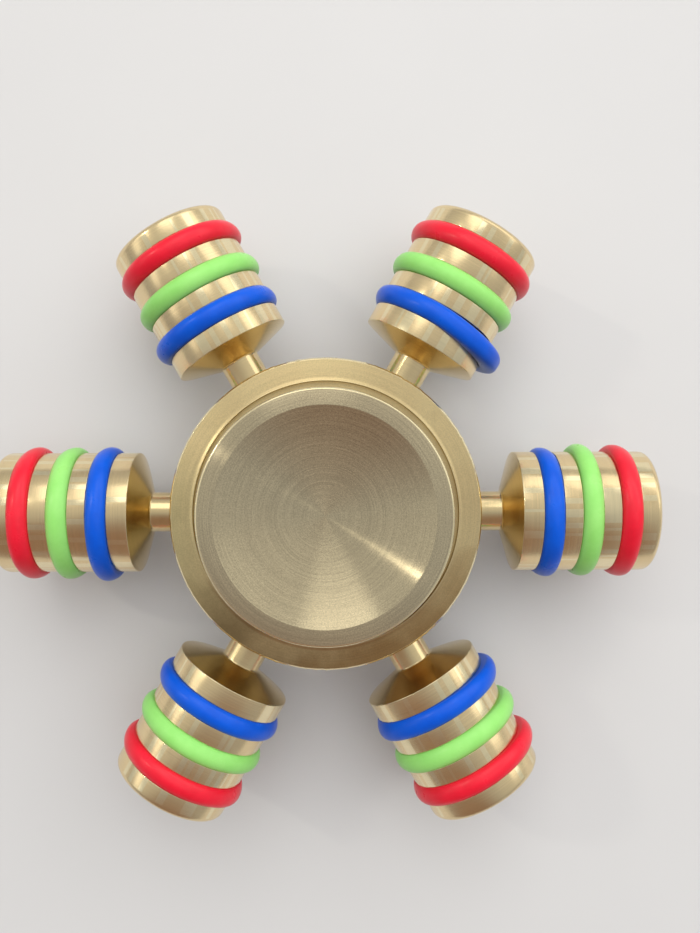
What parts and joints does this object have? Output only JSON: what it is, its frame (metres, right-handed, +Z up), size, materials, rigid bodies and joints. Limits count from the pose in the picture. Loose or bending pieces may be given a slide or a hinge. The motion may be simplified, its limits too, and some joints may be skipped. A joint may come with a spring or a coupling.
{
  "type": "fidget spinner",
  "caption": "Brass hand spinner: turned hub on a ball bearing between two dished finger caps, with screwed-in cylindrical weights that carry coloured O-rings.",
  "frame": {"origin": "centre of the footprint, at the height of the bottom cap's rim that it stands on", "axes": "+Z up along the spin axis; +X from the spin axis along weight_1; the other weights follow every 60 degrees anticlockwise seen from above"},
  "size_m": [0.06, 0.0572, 0.0185],
  "materials": {
    "hub_brass": "fine turned, satin",
    "cap_brass": "fine turned, satin",
    "weight_brass": "turned, semi-bright",
    "bearing_steel": "ground",
    "shield_steel": "stamped, satin",
    "ball_chrome": "polished",
    "cage_brass": "stamped",
    "blue_rubber": "smooth, semi-gloss",
    "green_rubber": "smooth, semi-gloss",
    "red_rubber": "smooth, semi-gloss"
  },
  "bodies": {
    "caps": {"top_cap": "cap_brass", "bottom_cap": "cap_brass", "bearing_inner_race": "bearing_steel"},
    "rotor": {"hub": "hub_brass", "bearing_outer_race": "bearing_steel", "bearing_top_shield": "shield_steel", "bearing_bottom_shield": "shield_steel", "top_snap_ring": "bearing_steel", "bottom_snap_ring": "bearing_steel", "weight_1": "weight_brass", "weight_2": "weight_brass", "weight_3": "weight_brass", "weight_4": "weight_brass", "weight_5": "weight_brass", "weight_6": "weight_brass", "o_ring_blue_1": "blue_rubber", "o_ring_green_1": "green_rubber", "o_ring_red_1": "red_rubber", "o_ring_blue_2": "blue_rubber", "o_ring_green_2": "green_rubber", "o_ring_red_2": "red_rubber", "o_ring_blue_3": "blue_rubber", "o_ring_green_3": "green_rubber", "o_ring_red_3": "red_rubber", "o_ring_blue_4": "blue_rubber", "o_ring_green_4": "green_rubber", "o_ring_red_4": "red_rubber", "o_ring_blue_5": "blue_rubber", "o_ring_green_5": "green_rubber", "o_ring_red_5": "red_rubber", "o_ring_blue_6": "blue_rubber", "o_ring_green_6": "green_rubber", "o_ring_red_6": "red_rubber"},
    "cage": {"bearing_balls": "ball_chrome", "bearing_cage": "cage_brass"}
  },
  "joints": [
    {"name": "rotor_spin", "type": "hinge", "parent": "caps", "child": "rotor", "pos_m": [0, 0, 0.00925], "axis": [0, 0, 1], "continuous": true},
    {"name": "cage_orbit", "type": "hinge", "parent": "caps", "child": "cage", "pos_m": [0, 0, 0.00925], "axis": [0, 0, 1], "continuous": true}
  ],
  "couplings": [
    {"joint": "cage_orbit", "follows": "rotor_spin", "ratio": 0.5833}
  ]
}
